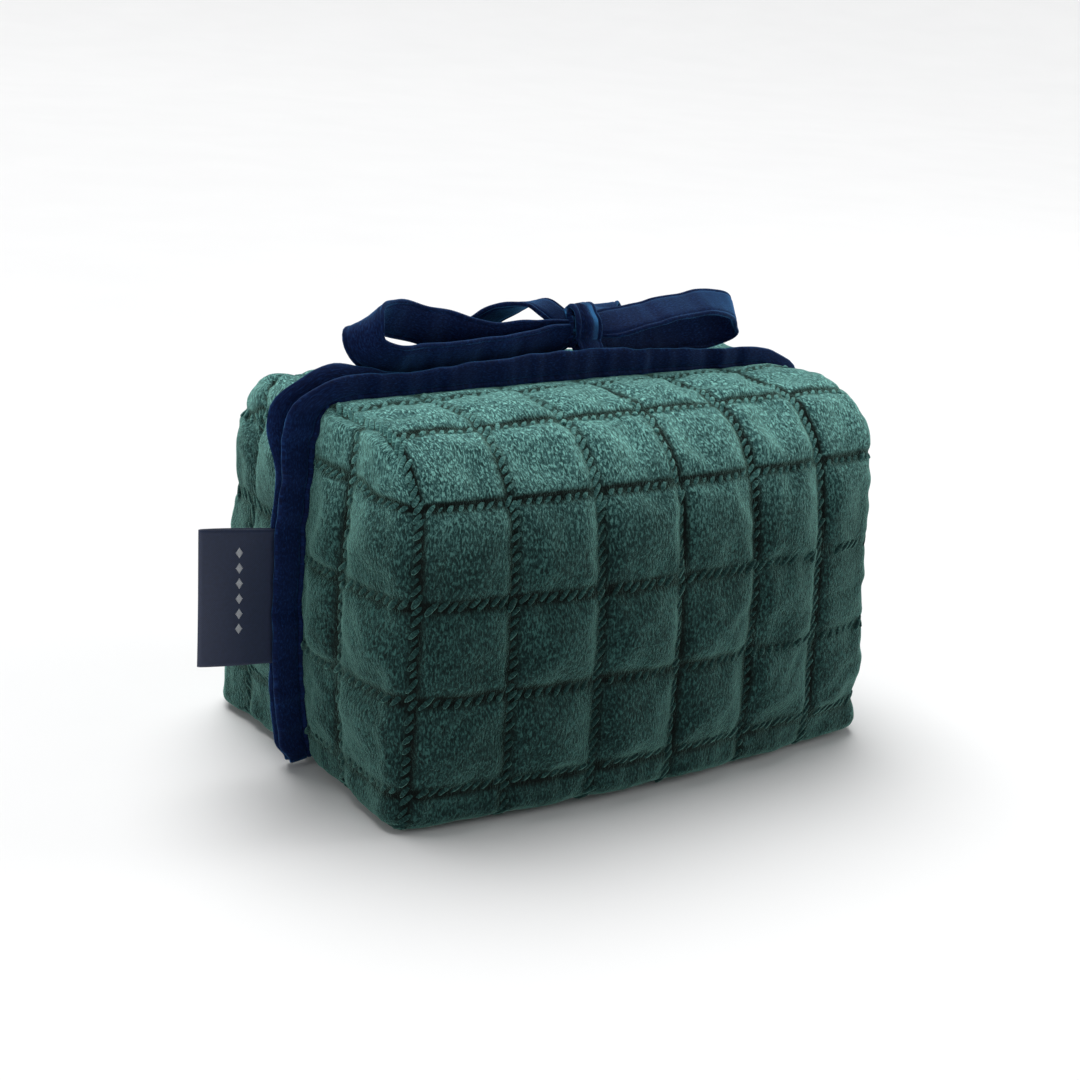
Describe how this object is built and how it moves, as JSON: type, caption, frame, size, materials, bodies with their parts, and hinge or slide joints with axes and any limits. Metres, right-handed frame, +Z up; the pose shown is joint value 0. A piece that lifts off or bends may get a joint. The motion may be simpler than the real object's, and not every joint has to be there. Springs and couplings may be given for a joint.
{
  "type": "clutch purse",
  "caption": "Small boxy quilted velvet clutch purse in two hinged tray halves, with bound rims, a blank side label and a ribbon bow on top.",
  "frame": {"origin": "on the floor, at the middle of the bottom seam where the two halves meet", "axes": "+X along the mouth to the right as seen from the front half, +Y from the front half to the back half, +Z up"},
  "size_m": [0.2336, 0.1318, 0.1471],
  "materials": {
    "green_velvet": "matte",
    "navy_velvet": "matte",
    "wadding": "matte",
    "lining": "matte",
    "label_weave": "satin",
    "thread": "satin"
  },
  "bodies": {
    "back_half": {"back_shell": "green_velvet", "back_wadding": "wadding", "back_lining": "lining", "back_binding": "navy_velvet", "base_seam_tape": "navy_velvet", "base_seam_stitches": "thread", "back_tie": "navy_velvet", "bow_knot": "navy_velvet"},
    "front_half": {"front_shell": "green_velvet", "front_wadding": "wadding", "front_lining": "lining", "front_binding": "navy_velvet", "front_tie": "navy_velvet"},
    "label_flap": {"label": "label_weave"},
    "bow_left": {"left_loop": "navy_velvet", "left_tail": "navy_velvet"},
    "bow_right": {"right_loop": "navy_velvet", "right_tail": "navy_velvet"}
  },
  "joints": [
    {"name": "front_half_opens", "type": "hinge", "parent": "back_half", "child": "front_half", "pos_m": [0, -0.00015, 0], "axis": [1, 0, 0], "range_deg": [0, 170]},
    {"name": "label_flaps", "type": "hinge", "parent": "back_half", "child": "label_flap", "pos_m": [-0.1061, 0.0007, 0.0585], "axis": [0, 0, 1], "range_deg": [-60, 60]},
    {"name": "bow_left_lifts", "type": "hinge", "parent": "back_half", "child": "bow_left", "pos_m": [0.0095, 0.0068, 0.1334], "axis": [0, 1, 0], "range_deg": [0, 20]},
    {"name": "bow_right_lifts", "type": "hinge", "parent": "back_half", "child": "bow_right", "pos_m": [0.0095, 0.0068, 0.1334], "axis": [0, -1, 0], "range_deg": [0, 20]}
  ]
}
